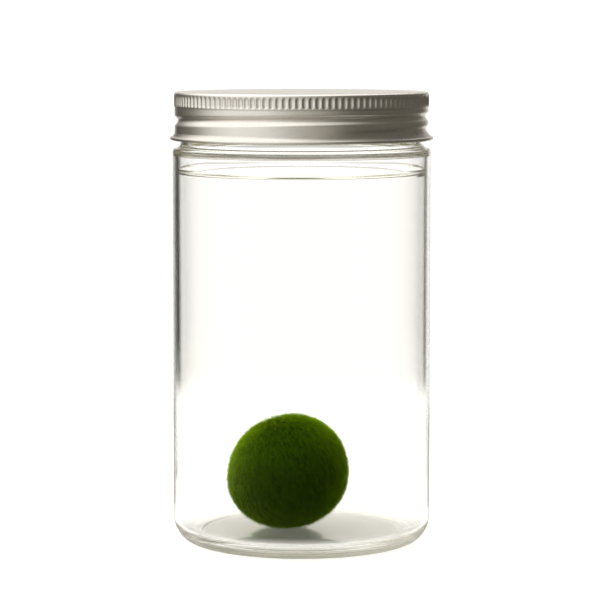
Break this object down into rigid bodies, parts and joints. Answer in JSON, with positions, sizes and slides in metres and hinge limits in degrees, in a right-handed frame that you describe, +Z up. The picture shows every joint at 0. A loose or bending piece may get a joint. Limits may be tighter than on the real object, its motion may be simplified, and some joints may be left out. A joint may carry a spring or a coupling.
{
  "type": "marimo moss ball in a screw-top jar",
  "caption": "Round marimo moss ball lying on the floor of a straight clear glass jar of water, closed by a fluted aluminium screw lid that unscrews.",
  "frame": {"origin": "centre of the jar's foot, on the surface that it stands on", "axes": "+Z up along the jar's axis; the pictured front faces -Y, with +X to the right; the ball lies a little towards -X"},
  "size_m": [0.0844, 0.0844, 0.1453],
  "materials": {
    "jar_glass": "clear polished glass",
    "lid_aluminium": "satin rolled sheet",
    "liner_foam": "soft matt foam disc",
    "water": "clear water",
    "moss": "dense short soft green fibres"
  },
  "bodies": {
    "jar": {"jar": "jar_glass", "water": "water", "moss_ball": "moss"},
    "lid_carrier": {"liner": "liner_foam"},
    "lid": {"lid": "lid_aluminium"}
  },
  "joints": [
    {"name": "lid_rise", "type": "slide", "parent": "jar", "child": "lid_carrier", "axis": [0, 0, 1], "range_m": [0, 0.00508]},
    {"name": "lid_turn", "type": "hinge", "parent": "lid_carrier", "child": "lid", "pos_m": [0, 0, 0.1453], "axis": [0, 0, 1], "range_deg": [0, 360]}
  ],
  "couplings": [
    {"joint": "lid_rise", "follows": "lid_turn", "m_per_rad": 0.0008085}
  ]
}
